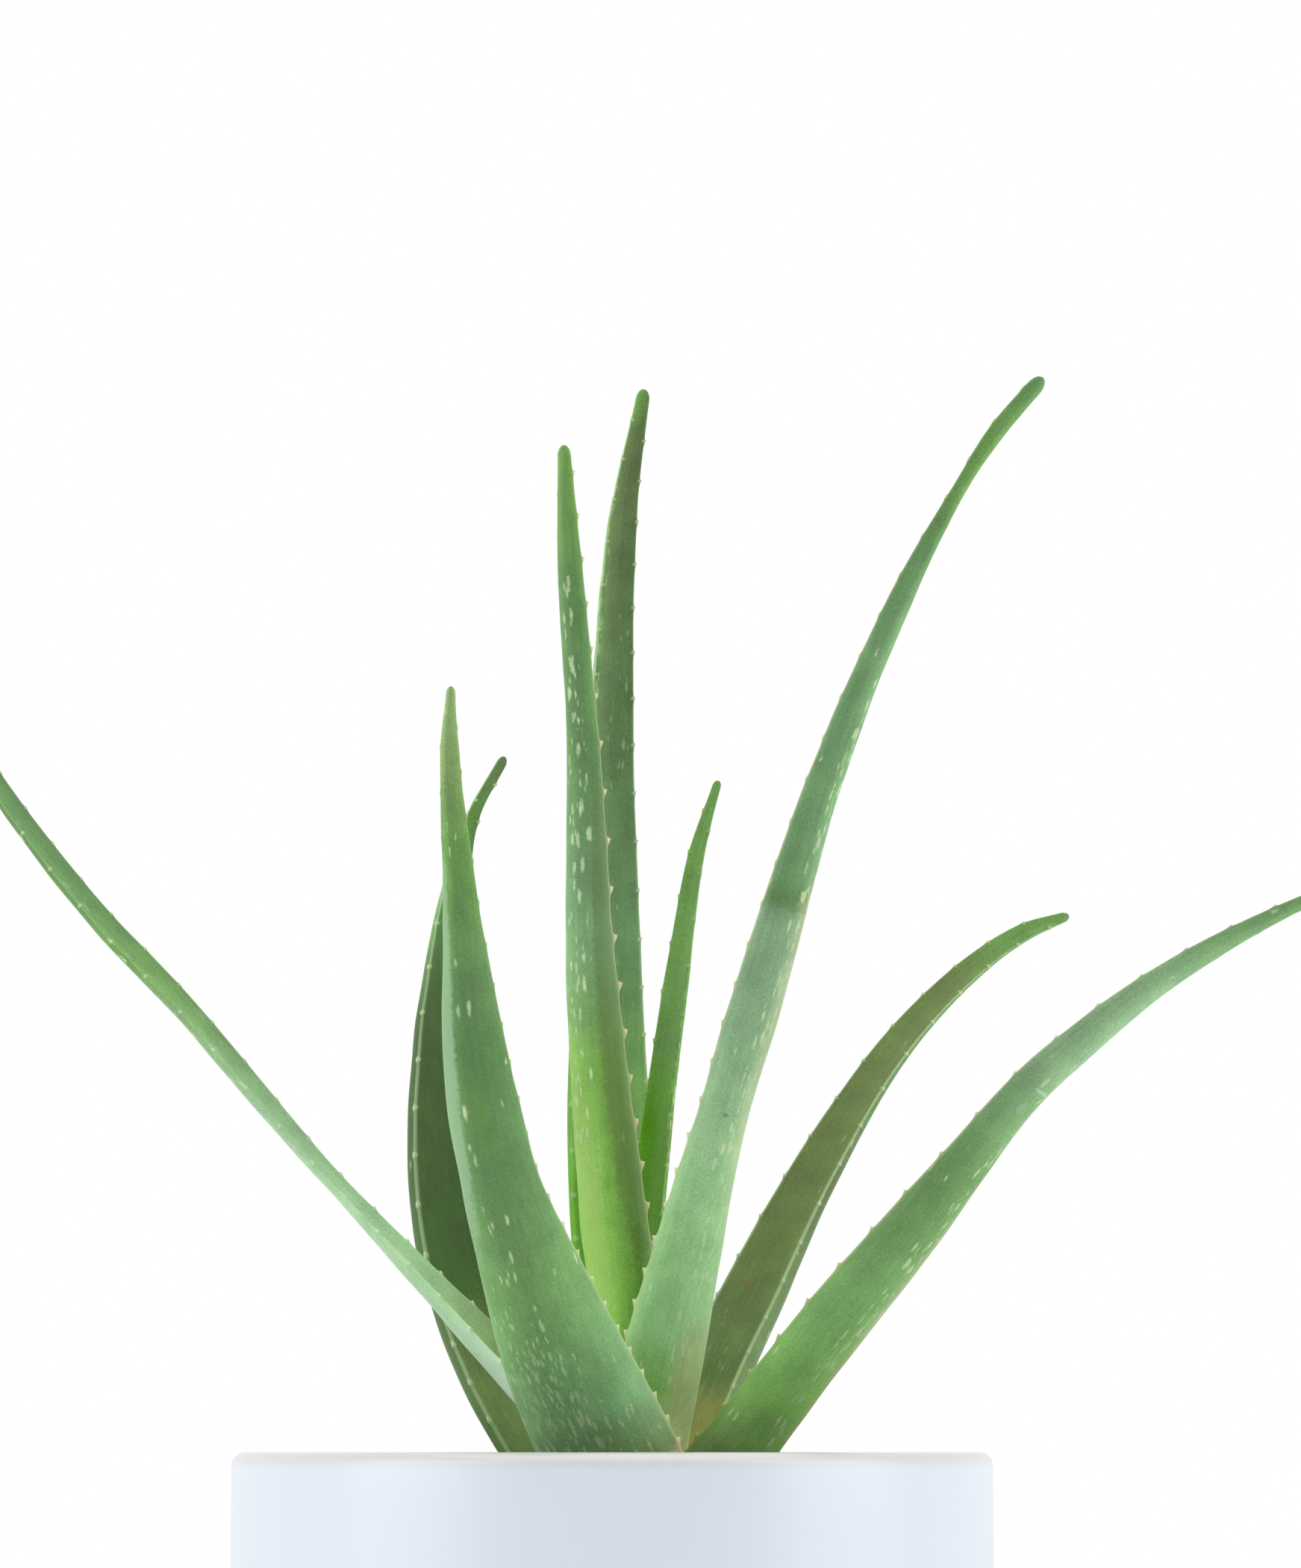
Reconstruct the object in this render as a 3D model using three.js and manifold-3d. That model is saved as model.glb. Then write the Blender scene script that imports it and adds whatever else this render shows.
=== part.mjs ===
// Potted aloe: a rosette of nine fleshy, toothed leaves on a short stem, rooted in potting soil
// in a white glazed cylinder pot. Millimetres, +Z up, origin at the centre of the pot's underside.
// A viewer in front of the plant looks along +Y.

import * as THREE from 'three';
import { mergeVertices } from 'three/addons/utils/BufferGeometryUtils.js';
import Module from 'manifold-3d';

const wasm = await Module();
wasm.setup();

// ---------------------------------------------------------------- driving dimensions

const GAP = 0.3; // clearance between neighbouring pieces

const POT = {
  radius: 82.5,
  height: 150,
  wall: 6,
  floor: 9,
  lipRound: 3,
  footRound: 4,
  facets: 48,
};

const SOIL = {
  level: 122, // mean height of its surface
  swells: [
    // waves that make the surface uneven: height, then waves per millimetre along X and Y
    { height: 0.9, x: 0.014, y: -0.018 },
    { height: 0.7, x: 0.027, y: 0.033 },
    { height: 0.5, x: -0.061, y: 0.052 },
  ],
  sectors: 30,
  rings: 8,
};

const STEM = {
  x: 8, // the plant stands a little right of the pot's axis
  y: 0,
  profile: [
    // height and radius, from the root end deep in the soil to the heart of the rosette
    [62, 5],
    [112, 8.5],
    [132, 8.5],
    [142, 5.5],
    [147, 1.5],
  ],
  facets: 14,
};

const LEAF = {
  outerSteps: 8, // steps across the outer face of a cross-section
  innerSteps: 6, // and across the inner face
  rows: 17, // cross-sections from foot to tip
  tipRows: 3, // further ones round the tip
  thick: 0.36, // thickness as a share of width, where a leaf gives none of its own
  footChannel: 0.16, // how far the inner face is hollowed at the foot, as a share of width
  tipChannel: -0.14, // below 0 the inner face bulges
  shoulder: 0.06, // how full the inner face is beside the margins, as a share of width
  curl: 22, // degrees that the margins curl over the inner face
  lift: 0.13, // how far a margin then stands over the centre line, as a share of width
  tipRound: 0.8, // length of the rounded tip as a share of the width there
};

const TOOTH = {
  first: 8, // distance of the lowest tooth from the leaf's foot
  last: 4, // distance of the highest one from the leaf's tip
  stagger: 0.45, // how far one margin's teeth stand ahead of the other's, as a share of the pitch
  pitch: [8.5, 11.5, 9.5], // spacing at the foot, middle and tip of a leaf
  tilt: 40, // degrees that the teeth lean over the inner face
  sides: 3,
  root: 0.8, // how deep it is sunk into the margin
  base: 1.4, // half its length along the margin, as a share of its height
  flat: 0.55, // half its thickness at the root
  hook: 0.8, // how far its point leans towards the leaf's tip, as a share of its height
};

// Every leaf's centre line runs through its stations, foot to tip: [x, y, z, full width].
// face is the direction, in degrees from +X towards +Y, that the inner side looks at the foot and
// at the tip. teeth is how far they stand out at the foot, middle and tip. thick and pitch are
// given where they are not the usual ones.
// They stand in order from the heart outwards: an outer leaf is shaped round inner ones.
const LEAVES = {
  leaf_centre_front: {
    face: [62, 66],
    teeth: [1.2, 1.2, 0.6],
    pitch: [7.1, 10.6, 9.5],
    stations: [
      [7, 0, 144, 19],
      [4.4, -1, 165, 17.5],
      [2.4, -3.3, 184.2, 15.7],
      [-0.3, -6, 205.5, 15.1],
      [-4.7, -11, 254, 11.5],
      [-6.5, -14, 303, 7.6],
      [-9.5, -16, 344, 5.6],
      [-10.8, -16, 369.2, 3],
    ],
  },
  leaf_centre_rear: {
    face: [-84, -75],
    teeth: [0.9, 0.7, 0.5],
    stations: [
      [7, 6, 142, 20],
      [2.6, 15, 168, 19],
      [-1.2, 28, 224, 18.7],
      [-1.1, 38, 275.5, 13.5],
      [-0.6, 43, 319, 10],
      [1.8, 47, 363.5, 6.7],
      [6.8, 50, 395.2, 3.1],
    ],
  },
  leaf_young: {
    face: [-122, -100],
    teeth: [0.7, 0.55, 0.4],
    stations: [
      [8.5, 2, 147, 11],
      [6.3, 8, 181.5, 9.4],
      [9.9, 12, 223, 7],
      [14.4, 16, 256.5, 5.5],
      [18.4, 18, 282, 3.7],
      [23.5, 20, 299.6, 1.9],
    ],
  },
  leaf_left_low: {
    face: [-14, -40],
    teeth: [0.9, 0.45, 0.4],
    thick: 0.3,
    stations: [
      [4, 1, 142.5, 16],
      [-28.5, 1.1, 175.4, 12.2],
      [-45.4, 4.2, 192.6, 9],
      [-62.4, 8.1, 210.2, 6.8],
      [-80.3, 11.8, 230.4, 7.6],
      [-96.8, 15.1, 249.3, 7.8],
      [-114.8, 18.6, 268, 7.4],
      [-131.7, 22, 288.7, 6.6],
      [-149.5, 26, 314, 5.2],
      [-158, 28, 327, 2.6],
    ],
  },
  leaf_right_tall: {
    face: [118, 128],
    teeth: [1.3, 0.5, 0.45],
    pitch: [6.1, 9.2, 9.5],
    stations: [
      [4, -5, 135, 19],
      [11.5, -13, 172.9, 18.2],
      [19.2, -20, 205, 13.8],
      [24.5, -23.5, 224.3, 11.5],
      [30.7, -27, 244.5, 12.1],
      [45.4, -35, 291.9, 8.4],
      [61.8, -41, 330.9, 5.7],
      [74.1, -44, 353.7, 3.3],
      [82.2, -45, 366.3, 3.9],
      [92.3, -46.1, 378, 3.7],
    ],
  },
  leaf_right_rear: {
    face: [-130, -112],
    teeth: [0.7, 0.5, 0.4],
    stations: [
      [10, 3, 132, 21],
      [18.3, 11, 157.5, 17.5],
      [29.7, 24, 182, 16],
      [47.3, 40, 215.9, 11.6],
      [64.7, 53, 242.4, 8],
      [81.8, 62.1, 260.5, 6],
      [94.9, 68, 269.9, 4.4],
      [106.1, 72, 274.5, 2.3],
    ],
  },
  leaf_left_rear: {
    face: [-68, -60],
    teeth: [0.9, 0.9, 0.5],
    stations: [
      [5, 4, 132, 24],
      [-14, 14, 151, 20.4],
      [-27.6, 26, 174.2, 19.7],
      [-36.1, 34, 200, 18.9],
      [-38.9, 42, 225, 16.7],
      [-38.1, 50, 259.5, 11.9],
      [-33.7, 55, 293.1, 3.9],
      [-25.5, 56, 309.8, 2.4],
    ],
  },
  leaf_right_low: {
    face: [122, 128],
    teeth: [1.1, 0.6, 0.5],
    stations: [
      [10, -4, 129, 22],
      [26.8, -11, 150.7, 17],
      [38, -16.2, 165.5, 15.7],
      [50.3, -22, 180.8, 15.5],
      [63.4, -29, 196.3, 13.9],
      [75.9, -36, 211.8, 11.1],
      [86.4, -41.2, 224.4, 9.3],
      [97.8, -46, 234.8, 8.3],
      [117.9, -54, 249.8, 5.8],
      [143.8, -61, 263.5, 2.8],
      [158, -65, 269, 2.2],
    ],
  },
  leaf_front_broad: {
    face: [72, 84],
    teeth: [1.2, 0.7, 0.4],
    pitch: [5.5, 8, 9.5],
    thick: 0.31,
    stations: [
      [8, -6, 131, 31],
      [-0.8, -22, 150.3, 29.5],
      [-9.8, -34, 169.5, 26.5],
      [-17, -46, 188, 21.4],
      [-23, -56, 205.9, 16.6],
      [-27.2, -64, 226, 14.6],
      [-30.9, -76, 263.5, 7.2],
      [-32.9, -83, 293.5, 3.8],
      [-32.6, -85, 305.6, 1.8],
    ],
  },
};

const FINISH = {
  glaze: { color: new THREE.Color(0.8, 0.82, 0.87), roughness: 0.3, metalness: 0 },
  soil: { color: new THREE.Color(0.1, 0.07, 0.05), roughness: 0.95, metalness: 0 },
  stem: { color: new THREE.Color(0.42, 0.45, 0.28), roughness: 0.7, metalness: 0 },
  leaf: { color: new THREE.Color(0.22, 0.42, 0.2), roughness: 0.45, metalness: 0 },
};

const CURL = THREE.MathUtils.degToRad(LEAF.curl);

const SLIVER = 0.005; // detail smaller than this is left out
const SHARPEST_MITRE = 0.5; // cosine past which a widened corner is blunted

// ---------------------------------------------------------------- solids

// A closed geometry as a manifold-3d solid.
function solid(geometry) {
  const bare = geometry.clone();
  for (const name of ['normal', 'uv']) bare.deleteAttribute(name);
  const merged = mergeVertices(bare, 1e-4);
  return new wasm.Manifold(
    new wasm.Mesh({
      numProp: 3,
      vertProperties: merged.attributes.position.array,
      triVerts: new Uint32Array(merged.index.array),
    }),
  );
}

// A solid's surface as a geometry. Where a cut has left scraps, only the largest body is kept, and
// slivers are merged into their neighbours.
function surface(shape) {
  const bodies = shape.decompose().sort((a, b) => b.volume() - a.volume());
  const mesh = bodies[0].asOriginal().simplify(SLIVER).getMesh();
  const geometry = new THREE.BufferGeometry();
  geometry.setAttribute('position', new THREE.BufferAttribute(mesh.vertProperties, mesh.numProp));
  geometry.setIndex(new THREE.BufferAttribute(mesh.triVerts, 1));
  geometry.computeVertexNormals();
  return geometry;
}

// A skin over rings of equal length, closed by a fan at each end.
function loft(rings) {
  const count = rings[0].length;
  const centres = [rings[0], rings.at(-1)].map((ring) =>
    ring.reduce((sum, p) => sum.add(p), new THREE.Vector3()).divideScalar(count),
  );
  const points = [...rings.flat(), ...centres];
  const [foot, tip] = [points.length - 2, points.length - 1];
  const faces = [];
  for (let i = 0; i < count; i++) {
    const j = (i + 1) % count;
    for (let r = 0; r + 1 < rings.length; r++) {
      const [a, b, c, d] = [r * count + i, r * count + j, (r + 1) * count + j, (r + 1) * count + i];
      faces.push(a, b, c, a, c, d);
    }
    const last = (rings.length - 1) * count;
    faces.push(j, i, foot, last + i, last + j, tip);
  }
  return new THREE.BufferGeometry().setFromPoints(points).setIndex(faces);
}

// ---------------------------------------------------------------- leaves

// A value that runs smoothly through a list, evenly spaced from 0 to 1.
function along(values, t) {
  const place = t * (values.length - 1);
  const i = Math.min(Math.floor(place), values.length - 2);
  const at = (k) => values[Math.min(Math.max(k, 0), values.length - 1)];
  const f = place - i;
  const [before, start, end, after] = [at(i - 1), at(i), at(i + 1), at(i + 2)];
  const bend = 2 * before - 5 * start + 4 * end - after;
  const twist = 3 * start - before - 3 * end + after;
  return start + 0.5 * f * (end - before + f * (bend + f * twist));
}

// The leaf's own frame and size at a share s of its length. Each margin stands beside the centre
// line by edge and over it, towards the inner face, by lift.
function leafAt(leaf, s) {
  const t = leaf.curve.getUtoTmapping(s);
  const centre = leaf.curve.getPoint(t);
  const ahead = leaf.curve.getTangent(t);
  const [footFace, tipFace] = leaf.face;
  const turn = THREE.MathUtils.degToRad(THREE.MathUtils.lerp(footFace, tipFace, s));
  const inward = new THREE.Vector3(Math.cos(turn), Math.sin(turn), 0);
  inward.addScaledVector(ahead, -inward.dot(ahead)).normalize();
  const across = new THREE.Vector3().crossVectors(ahead, inward);
  const width = along(leaf.stations.map((station) => station[3]), t);
  const edge = (width / 2) * Math.cos(CURL);
  return { centre, ahead, inward, across, width, edge, lift: LEAF.lift * width };
}

// An outline pushed out by a distance, square to its edges.
function widened(outline, distance) {
  const count = outline.length;
  const normals = outline.map((point, i) => {
    const edge = outline[(i + 1) % count].clone().sub(point).normalize();
    return new THREE.Vector2(-edge.y, edge.x);
  });
  return outline.map((point, i) => {
    const mitre = normals[i].clone().add(normals.at(i - 1)).normalize();
    const reach = distance / Math.max(mitre.dot(normals[i]), SHARPEST_MITRE);
    return point.clone().addScaledVector(mitre, reach);
  });
}

// One cross-section: the outer face bulges from margin to margin, and between them the inner
// face is hollowed or nearly flat.
function leafRing(leaf, { s, scale, ahead: forward }, grow) {
  const { centre, ahead, inward, across, width, edge, lift } = leafAt(leaf, s);
  const channel = THREE.MathUtils.lerp(LEAF.footChannel, LEAF.tipChannel, Math.sqrt(s)) * width;
  const depth = (leaf.thick ?? LEAF.thick) * width + channel;
  const hollow = channel + lift;
  const shoulder = Math.max(LEAF.shoulder * width, -hollow);
  const outline = [];
  for (let i = 0; i <= LEAF.outerSteps; i++) {
    const angle = ((Math.PI + 2 * CURL) * i) / LEAF.outerSteps - CURL;
    const side = Math.sin(angle);
    const rise = side > 0 ? -depth * side : (-lift * side) / Math.sin(CURL);
    outline.push(new THREE.Vector2((width / 2) * Math.cos(angle), rise));
  }
  for (let i = 1; i < LEAF.innerSteps; i++) {
    const angle = (Math.PI * i) / LEAF.innerSteps;
    const side = Math.sin(angle);
    const rise = lift - (hollow + shoulder) * side * side + shoulder * side;
    outline.push(new THREE.Vector2(-edge * Math.cos(angle), rise));
  }
  centre.addScaledVector(ahead, forward * grow);
  const shrunk = outline.map((point) => point.multiplyScalar(scale));
  return widened(shrunk, grow).map((point) =>
    centre.clone().addScaledVector(across, point.x).addScaledVector(inward, point.y),
  );
}

// Where a leaf's cross-sections stand: evenly from the foot, then round the blunt tip.
function leafRows(leaf) {
  const tipLength = (LEAF.tipRound * leaf.stations.at(-1)[3]) / leaf.length;
  const rows = [];
  for (let row = 0; row < LEAF.rows; row++) {
    rows.push({ s: ((1 - tipLength) * row) / (LEAF.rows - 1), scale: 1, ahead: 0 });
  }
  for (let row = 1; row <= LEAF.tipRows; row++) {
    const angle = (row / (LEAF.tipRows + 0.5)) * (Math.PI / 2);
    rows.push({ s: 1 - tipLength * (1 - Math.sin(angle)), scale: Math.cos(angle), ahead: 0 });
  }
  rows[0].ahead = -1;
  rows.at(-1).ahead = 1;
  return rows;
}

// One margin tooth: a flattened pyramid that leans towards the leaf's tip.
function tooth(leaf, s, sideSign, grow) {
  const { centre, ahead, inward, across, edge, lift } = leafAt(leaf, s);
  const height = along(leaf.teeth, s) + grow;
  const tilt = THREE.MathUtils.degToRad(TOOTH.tilt);
  const beside = across.clone().multiplyScalar(sideSign);
  const out = beside.clone().multiplyScalar(Math.cos(tilt)).addScaledVector(inward, Math.sin(tilt));
  const under = beside.clone().multiplyScalar(Math.sin(tilt)).addScaledVector(inward, -Math.cos(tilt));
  const shape = new THREE.ConeGeometry(1, 1, TOOTH.sides);
  shape.translate(0, 0.5, 0);
  const reach = out.clone().multiplyScalar(height + TOOTH.root);
  reach.addScaledVector(ahead, TOOTH.hook * height);
  const length = ahead.clone().multiplyScalar((TOOTH.base * height + grow) * sideSign);
  const flat = under.multiplyScalar(TOOTH.flat + grow);
  const root = centre.clone().addScaledVector(beside, edge).addScaledVector(inward, lift);
  root.addScaledVector(out, -TOOTH.root);
  shape.applyMatrix4(new THREE.Matrix4().makeBasis(length, reach, flat).setPosition(root));
  return solid(shape);
}

// Both margins' teeth, at a pitch that changes along the leaf.
function teeth(leaf, grow) {
  const pitch = leaf.pitch ?? TOOTH.pitch;
  const found = [];
  for (const sideSign of [-1, 1]) {
    let reached = TOOTH.first;
    if (sideSign < 0) reached += TOOTH.stagger * pitch[0];
    while (reached < leaf.length - TOOTH.last) {
      const s = reached / leaf.length;
      found.push(tooth(leaf, s, sideSign, grow));
      reached += along(pitch, s);
    }
  }
  return found;
}

// A whole leaf. With grow it is larger all round, as the room that its neighbours keep clear.
function leafSolid(leaf, grow) {
  const rings = leafRows(leaf).map((row) => leafRing(leaf, row, grow));
  return wasm.Manifold.union([solid(loft(rings)), ...teeth(leaf, grow)]);
}

// ---------------------------------------------------------------- pot, soil and stem

// A quarter round from one direction to another, as points of a profile.
function round(x, y, radius, from, to, steps = 4) {
  const arc = new THREE.EllipseCurve(x, y, radius, radius, from, to, from > to);
  return arc.getPoints(steps);
}

function turned(profile, facets) {
  const geometry = new THREE.LatheGeometry(profile, facets);
  return geometry.rotateX(Math.PI / 2);
}

function pot() {
  const { radius, height, wall, floor, lipRound, footRound, facets } = POT;
  const inside = radius - wall;
  const profile = [
    new THREE.Vector2(0, 0),
    ...round(radius - footRound, footRound, footRound, -Math.PI / 2, 0, 3),
    ...round(radius - lipRound, height - lipRound, lipRound, 0, Math.PI),
    ...round(inside - footRound, floor + footRound, footRound, 0, -Math.PI / 2, 2),
    new THREE.Vector2(0, floor),
  ];
  return solid(turned(profile, facets));
}

// The root end and stem are one piece. With grow it is larger all round.
function stem(grow) {
  const side = STEM.profile.map(([height, radius]) => new THREE.Vector2(radius + grow, height));
  side[0].y -= grow;
  side.at(-1).y += grow;
  const profile = [new THREE.Vector2(0, side[0].y), ...side, new THREE.Vector2(0, side.at(-1).y)];
  return solid(turned(profile, STEM.facets).translate(STEM.x, STEM.y, 0));
}

// The soil's surface is uneven: slow waves and smaller ones across them.
function soilHeight(x, y) {
  const swell = (sum, wave) => sum + wave.height * Math.sin(2 * Math.PI * (wave.x * x + wave.y * y));
  return SOIL.swells.reduce(swell, SOIL.level);
}

function soil() {
  const outer = POT.radius - POT.wall - GAP;
  const bottom = POT.floor + GAP;
  const circle = (radius, height) =>
    Array.from({ length: SOIL.sectors }, (_, i) => {
      const angle = (2 * Math.PI * i) / SOIL.sectors;
      const [x, y] = [radius * Math.cos(angle), radius * Math.sin(angle)];
      return new THREE.Vector3(x, y, height ?? soilHeight(x, y));
    });
  const rings = [circle(outer - POT.footRound, bottom), circle(outer, bottom + POT.footRound)];
  for (let r = SOIL.rings; r > 0; r--) rings.push(circle((outer * r) / SOIL.rings));
  return solid(loft(rings));
}

// ---------------------------------------------------------------- assembly

const aloe = new THREE.Group();

function piece(name, shape, finish) {
  const mesh = new THREE.Mesh(surface(shape), new THREE.MeshStandardMaterial(finish));
  mesh.name = name;
  aloe.add(mesh);
}

// Each leaf gives way to the stem and to the leaves nearer the heart.
let taken = stem(GAP);
for (const [name, leaf] of Object.entries(LEAVES)) {
  const points = leaf.stations.map(([x, y, z]) => new THREE.Vector3(x, y, z));
  leaf.curve = new THREE.CatmullRomCurve3(points, false, 'centripetal');
  leaf.length = leaf.curve.getLength();
  piece(name, leafSolid(leaf, 0).subtract(taken), FINISH.leaf);
  taken = taken.add(leafSolid(leaf, GAP));
}
piece('stem', stem(0), FINISH.stem);
piece('soil', soil().subtract(taken), FINISH.soil);
piece('pot', pot(), FINISH.glaze);

export default aloe;
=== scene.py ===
# Looks of the potted aloe: nine toothed leaves, a short stem, potting soil and a glazed pot.
# Lengths in this file are millimetres unless a name says otherwise; meshes are made in metres.
# +Z is up and the viewer looks along +Y.

import math

import bmesh
import bpy
import numpy as np
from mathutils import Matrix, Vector, noise


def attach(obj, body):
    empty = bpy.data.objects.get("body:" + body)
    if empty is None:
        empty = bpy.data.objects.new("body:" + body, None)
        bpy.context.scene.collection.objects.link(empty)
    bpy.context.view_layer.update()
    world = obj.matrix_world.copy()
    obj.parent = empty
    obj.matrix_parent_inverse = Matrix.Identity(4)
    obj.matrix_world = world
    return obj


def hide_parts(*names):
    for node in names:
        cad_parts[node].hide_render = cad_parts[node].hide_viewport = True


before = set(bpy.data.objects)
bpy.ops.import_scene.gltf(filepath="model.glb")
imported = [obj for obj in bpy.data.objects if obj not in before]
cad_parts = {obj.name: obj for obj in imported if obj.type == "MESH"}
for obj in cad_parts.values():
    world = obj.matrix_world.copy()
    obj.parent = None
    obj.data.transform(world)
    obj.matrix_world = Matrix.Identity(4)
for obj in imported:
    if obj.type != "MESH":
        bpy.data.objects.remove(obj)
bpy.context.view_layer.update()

MM = 0.001

# -------------------- sizes, as in the CAD model

GAP = 0.3  # between the soil and the pot
POT = dict(radius=82.5, height=150.0, wall=6.0, floor=9.0, lip=3.0, foot=4.0)
SOIL_LEVEL = 122.0
SOIL_SWELLS = ((0.9, 0.014, -0.018), (0.7, 0.027, 0.033), (0.5, -0.061, 0.052))
STEM_X = 8.0
STEM_PROFILE = ((62, 5), (112, 8.5), (132, 8.5), (142, 5.5), (147, 1.5))  # height, radius

THICK = 0.36  # leaf thickness as a share of its width, where a leaf gives none of its own
FOOT_CHANNEL, TIP_CHANNEL = 0.16, -0.14  # hollow of the inner face; below 0 it bulges
SHOULDER = 0.06  # how full the inner face is beside the margins, as a share of width
CURL = math.radians(22)  # how far the margins curl over the inner face
LIFT = 0.13  # how far a margin then stands over the centre line, as a share of width
TIP_ROUND = 0.8  # length of the rounded tip as a share of the width there

TOOTH_FIRST, TOOTH_LAST, TOOTH_STAGGER = 8.0, 4.0, 0.45
TOOTH_PITCH = (8.5, 11.5, 9.5)  # at a leaf's foot, middle and tip
TOOTH_TILT = math.radians(40)  # how far the teeth lean over the inner face
TOOTH_BASE, TOOTH_HOOK = 1.4, 0.8  # half length and forward lean, as shares of the height

# Centre lines from foot to tip: x, y, z, full width. Face is the direction in degrees, from +X
# towards +Y, that the inner side looks at the foot and at the tip. Teeth is how far they stand out
# at the foot, middle and tip.
LEAVES = {
    "leaf_centre_front": dict(
        face=(62, 66), teeth=(1.2, 1.2, 0.6), pitch=(7.1, 10.6, 9.5),
        stations=(
            (7, 0, 144, 19), (4.4, -1, 165, 17.5), (2.4, -3.3, 184.2, 15.7),
            (-0.3, -6, 205.5, 15.1), (-4.7, -11, 254, 11.5), (-6.5, -14, 303, 7.6),
            (-9.5, -16, 344, 5.6), (-10.8, -16, 369.2, 3),
        ),
    ),
    "leaf_centre_rear": dict(
        face=(-84, -75), teeth=(0.9, 0.7, 0.5),
        stations=(
            (7, 6, 142, 20), (2.6, 15, 168, 19), (-1.2, 28, 224, 18.7),
            (-1.1, 38, 275.5, 13.5), (-0.6, 43, 319, 10), (1.8, 47, 363.5, 6.7),
            (6.8, 50, 395.2, 3.1),
        ),
    ),
    "leaf_young": dict(
        face=(-122, -100), teeth=(0.7, 0.55, 0.4),
        stations=(
            (8.5, 2, 147, 11), (6.3, 8, 181.5, 9.4), (9.9, 12, 223, 7),
            (14.4, 16, 256.5, 5.5), (18.4, 18, 282, 3.7), (23.5, 20, 299.6, 1.9),
        ),
    ),
    "leaf_left_low": dict(
        face=(-14, -40), teeth=(0.9, 0.45, 0.4), thick=0.3,
        stations=(
            (4, 1, 142.5, 16), (-28.5, 1.1, 175.4, 12.2), (-45.4, 4.2, 192.6, 9),
            (-62.4, 8.1, 210.2, 6.8), (-80.3, 11.8, 230.4, 7.6), (-96.8, 15.1, 249.3, 7.8),
            (-114.8, 18.6, 268, 7.4), (-131.7, 22, 288.7, 6.6), (-149.5, 26, 314, 5.2),
            (-158, 28, 327, 2.6),
        ),
    ),
    "leaf_right_tall": dict(
        face=(118, 128), teeth=(1.3, 0.5, 0.45), pitch=(6.1, 9.2, 9.5),
        stations=(
            (4, -5, 135, 19), (11.5, -13, 172.9, 18.2), (19.2, -20, 205, 13.8),
            (24.5, -23.5, 224.3, 11.5), (30.7, -27, 244.5, 12.1), (45.4, -35, 291.9, 8.4),
            (61.8, -41, 330.9, 5.7), (74.1, -44, 353.7, 3.3), (82.2, -45, 366.3, 3.9),
            (92.3, -46.1, 378, 3.7),
        ),
    ),
    "leaf_right_rear": dict(
        face=(-130, -112), teeth=(0.7, 0.5, 0.4),
        stations=(
            (10, 3, 132, 21), (18.3, 11, 157.5, 17.5), (29.7, 24, 182, 16),
            (47.3, 40, 215.9, 11.6), (64.7, 53, 242.4, 8), (81.8, 62.1, 260.5, 6),
            (94.9, 68, 269.9, 4.4), (106.1, 72, 274.5, 2.3),
        ),
    ),
    "leaf_left_rear": dict(
        face=(-68, -60), teeth=(0.9, 0.9, 0.5),
        stations=(
            (5, 4, 132, 24), (-14, 14, 151, 20.4), (-27.6, 26, 174.2, 19.7),
            (-36.1, 34, 200, 18.9), (-38.9, 42, 225, 16.7), (-38.1, 50, 259.5, 11.9),
            (-33.7, 55, 293.1, 3.9), (-25.5, 56, 309.8, 2.4),
        ),
    ),
    "leaf_right_low": dict(
        face=(122, 128), teeth=(1.1, 0.6, 0.5),
        stations=(
            (10, -4, 129, 22), (26.8, -11, 150.7, 17), (38, -16.2, 165.5, 15.7),
            (50.3, -22, 180.8, 15.5), (63.4, -29, 196.3, 13.9), (75.9, -36, 211.8, 11.1),
            (86.4, -41.2, 224.4, 9.3), (97.8, -46, 234.8, 8.3), (117.9, -54, 249.8, 5.8),
            (143.8, -61, 263.5, 2.8), (158, -65, 269, 2.2),
        ),
    ),
    "leaf_front_broad": dict(
        face=(72, 84), teeth=(1.2, 0.7, 0.4), pitch=(5.5, 8, 9.5), thick=0.31,
        stations=(
            (8, -6, 131, 31), (-0.8, -22, 150.3, 29.5), (-9.8, -34, 169.5, 26.5),
            (-17, -46, 188, 21.4), (-23, -56, 205.9, 16.6), (-27.2, -64, 226, 14.6),
            (-30.9, -76, 263.5, 7.2), (-32.9, -83, 293.5, 3.8), (-32.6, -85, 305.6, 1.8),
        ),
    ),
}

# -------------------- finer sizes of this scene

OUTER_STEPS, INNER_STEPS = 28, 18  # steps across the two faces of a leaf's cross-section
CROWDING = 0.75  # how far these gather at the two margins
ROW_STEP = 0.4  # from one cross-section to the next
TIP_ROWS = 9  # cross-sections of a rounded tip
TOOTH_FLAT = 0.8  # half thickness of a tooth at the margin
TOOTH_TAPER = 1.7  # above 1 a tooth's sides are hollow
TOOTH_FULL = 0.8  # below 1 a tooth's two faces bulge
TOOTH_BEND = 1.2  # above 1 a tooth leans more towards its point
TOOTH_SWELL = 0.12  # height of the low swelling that each tooth stands on
SWELL_ACROSS, SWELL_ALONG = 1.6, 1.6  # its reach, in millimetres and in half lengths of the tooth

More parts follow.
